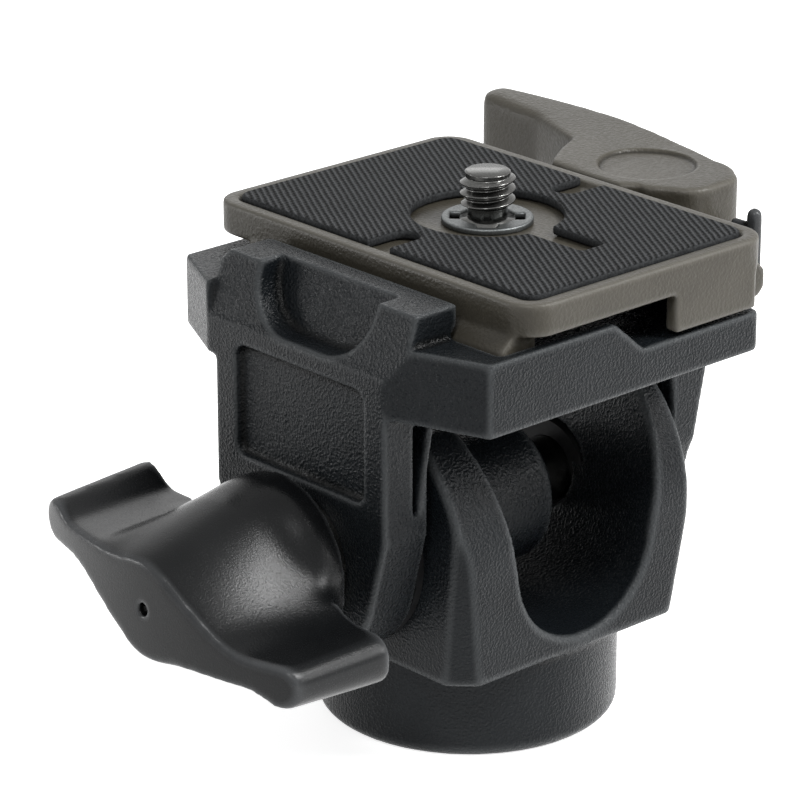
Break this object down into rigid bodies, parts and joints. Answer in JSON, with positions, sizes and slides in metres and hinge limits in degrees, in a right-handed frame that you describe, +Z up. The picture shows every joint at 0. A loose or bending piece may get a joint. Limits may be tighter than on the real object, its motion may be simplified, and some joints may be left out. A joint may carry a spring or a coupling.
{
  "type": "monopod tilt head",
  "caption": "Tilt head for a monopod: a fork foot, a platform tilting on a cross bolt locked by a wing knob, and a lever clamp that holds a quick-release plate with a camera screw.",
  "frame": {"origin": "centre of the foot's underside, at the mouth of the threaded hole", "axes": "+Z up along the threaded hole's axis, +Y along the tilt axis away from the wing knob, +X along the plate's length"},
  "size_m": [0.0606, 0.0894, 0.0646],
  "materials": {
    "casting": "black crinkle paint",
    "taupe": "satin grey-brown coat",
    "pad": "matte, fine diagonal texture",
    "knob": "satin black",
    "steel": "turned",
    "brass": "turned",
    "nylon": "plain black"
  },
  "bodies": {
    "base": {"base_fork": "casting", "bush_front": "nylon", "bush_rear": "nylon"},
    "platform": {"tilt_platform": "casting", "friction_washer_front": "nylon", "friction_washer_rear": "nylon", "pivot_bolt": "steel", "thrust_washer": "steel", "lever_washer": "steel", "lever_spring": "steel", "release_spring": "steel", "catch_pin": "steel", "catch_spring": "steel"},
    "knob": {"wing_knob": "knob", "knob_insert": "brass"},
    "lever": {"lock_lever": "taupe", "lever_pivot_screw": "steel"},
    "plunger": {"release_pin": "brass"},
    "catch": {"safety_catch": "knob"},
    "plate": {"quick_plate": "taupe", "plate_pad": "pad", "screw_retainer": "steel"},
    "screw": {"camera_screw": "steel"}
  },
  "joints": [
    {"name": "tilt", "type": "hinge", "parent": "base", "child": "platform", "pos_m": [0, 0, 0.0254], "axis": [0, 1, 0], "range_deg": [-90, 90]},
    {"name": "knob_turn", "type": "hinge", "parent": "platform", "child": "knob", "pos_m": [0, -0.035, 0.0254], "axis": [0, -1, 0], "range_deg": [0, 180]},
    {"name": "lever_swing", "type": "hinge", "parent": "platform", "child": "lever", "pos_m": [0.003, 0.031, 0.053], "axis": [0, 0, -1], "range_deg": [0, 60], "stiffness_Nm_per_rad": 0.03, "springref_deg": -22.92},
    {"name": "plate_tip", "type": "hinge", "parent": "platform", "child": "plate", "pos_m": [0, -0.0174, 0.0526], "axis": [1, 0, 0], "range_deg": [0, 7.5]},
    {"name": "plunger_lift", "type": "slide", "parent": "platform", "child": "plunger", "axis": [0, 0, 1], "range_m": [0, 0.0031]},
    {"name": "catch_swing", "type": "hinge", "parent": "platform", "child": "catch", "pos_m": [0.0128, 0.0324, 0.0474], "axis": [0, 1, 0], "range_deg": [0, 15], "stiffness_Nm_per_rad": 0.004, "springref_deg": -11.46},
    {"name": "screw_turn", "type": "hinge", "parent": "plate", "child": "screw", "pos_m": [0, 0.00268, 0.0562], "axis": [0, 0, 1], "continuous": true}
  ],
  "couplings": [
    {"joint": "plate_tip", "follows": "lever_swing", "ratio": 0.125},
    {"joint": "plunger_lift", "follows": "lever_swing", "m_per_rad": 0.0028}
  ]
}
